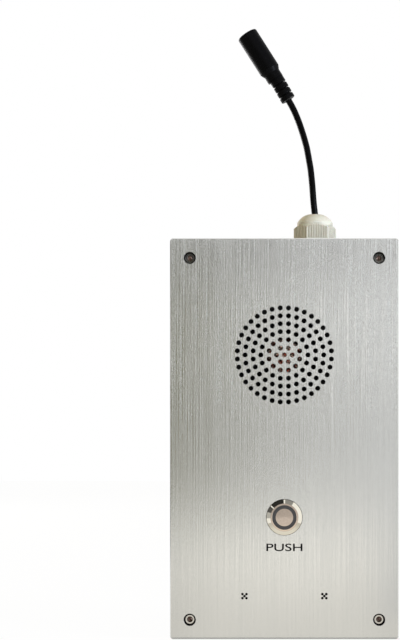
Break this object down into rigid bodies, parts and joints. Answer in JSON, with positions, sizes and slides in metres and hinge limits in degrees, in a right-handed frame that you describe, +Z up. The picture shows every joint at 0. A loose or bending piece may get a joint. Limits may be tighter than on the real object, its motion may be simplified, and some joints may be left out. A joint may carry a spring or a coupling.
{
  "type": "help point intercom",
  "caption": "Upright brushed plate on a cast wall box, with a loudspeaker grille, a push button with a light ring, microphone holes, and a short power lead through a gland.",
  "frame": {"origin": "centre of the back box's face that lies on the wall, in the middle of the wall holes", "axes": "+X to the right as seen from the front, +Y into the wall, +Z up"},
  "size_m": [0.114, 0.0522, 0.3152],
  "materials": {
    "brushed_plate_steel": "satin",
    "screw_steel": "satin",
    "plated_steel": "satin",
    "spring_steel": "satin",
    "polished_nickel": "polished",
    "satin_nickel": "satin",
    "cast_aluminium": "matte",
    "black_rubber": "matte",
    "grey_rubber": "matte",
    "cone_film": "satin",
    "metal_film": "polished",
    "former_film": "satin",
    "copper": "gloss",
    "spider_cloth": "matte",
    "ferrite": "matte",
    "laminate": "satin",
    "contact_brass": "satin",
    "smoked_plastic": "satin",
    "black_plastic": "satin",
    "lamp_resin": "gloss",
    "capsule_aluminium": "satin",
    "board_laminate": "gloss",
    "chip_resin": "matte",
    "capacitor_sleeve": "satin",
    "inductor_ferrite": "matte",
    "relay_plastic": "satin",
    "terminal_plastic": "satin",
    "ivory_plastic": "satin",
    "red_wire": "satin",
    "yellow_wire": "satin",
    "grey_wire": "satin",
    "cord_jacket": "satin",
    "cream_nylon": "satin",
    "connector_moulding": "satin",
    "contact_nickel": "polished"
  },
  "bodies": {
    "housing": {"front_plate": "brushed_plate_steel", "plate_screws": "screw_steel", "speaker_studs": "screw_steel", "speaker_clamps": "screw_steel", "clamp_nuts": "screw_steel", "board_screws": "screw_steel", "speaker_frame": "plated_steel", "top_plate": "plated_steel", "magnet_yoke": "plated_steel", "return_spring": "spring_steel", "button_bezel": "polished_nickel", "button_nut": "polished_nickel", "back_box": "cast_aluminium", "screw_seals": "black_rubber", "front_gasket": "black_rubber", "speaker_seal": "black_rubber", "button_seal": "black_rubber", "microphone_boots": "black_rubber", "gland_washer": "black_rubber", "gland_insert": "grey_rubber", "cone_surround": "cone_film", "cone_spider": "spider_cloth", "ring_magnet": "ferrite", "terminal_strip": "laminate", "speaker_tags": "contact_brass", "switch_blades": "contact_brass", "switch_base": "black_plastic", "ring_lamp": "lamp_resin", "microphone_capsules": "capsule_aluminium", "main_board": "board_laminate", "audio_processor": "chip_resin", "amplifier_chip": "chip_resin", "capacitors": "capacitor_sleeve", "power_inductor": "inductor_ferrite", "alarm_relay": "relay_plastic", "terminal_block": "terminal_plastic", "lead_headers": "ivory_plastic", "lead_plugs": "ivory_plastic", "speaker_leads": "red_wire", "power_cores": "red_wire", "button_leads": "yellow_wire", "microphone_leads": "grey_wire", "power_lead": "cord_jacket", "power_cord": "cord_jacket", "gland_body": "cream_nylon", "gland_locknut": "cream_nylon", "gland_dome_nut": "cream_nylon", "connector_body": "connector_moulding", "connector_sleeve": "contact_nickel", "connector_pin": "contact_nickel"},
    "button": {"light_ring": "smoked_plastic", "button_cap": "satin_nickel", "retaining_clip": "spring_steel", "contact_bridge": "contact_brass"},
    "cone": {"speaker_cone": "cone_film", "dust_cap": "metal_film", "coil_former": "former_film", "voice_coil": "copper"}
  },
  "joints": [
    {"name": "button_press", "type": "slide", "parent": "housing", "child": "button", "axis": [0, 1, 0], "range_m": [0, 0.0015], "stiffness_N_per_m": 1000, "springref_m": -0.002, "deforming": ["return_spring"]},
    {"name": "cone_travel", "type": "slide", "parent": "housing", "child": "cone", "axis": [0, 1, 0], "range_m": [-0.0006, 0.0006], "stiffness_N_per_m": 1500, "deforming": ["cone_surround", "cone_spider"]}
  ]
}
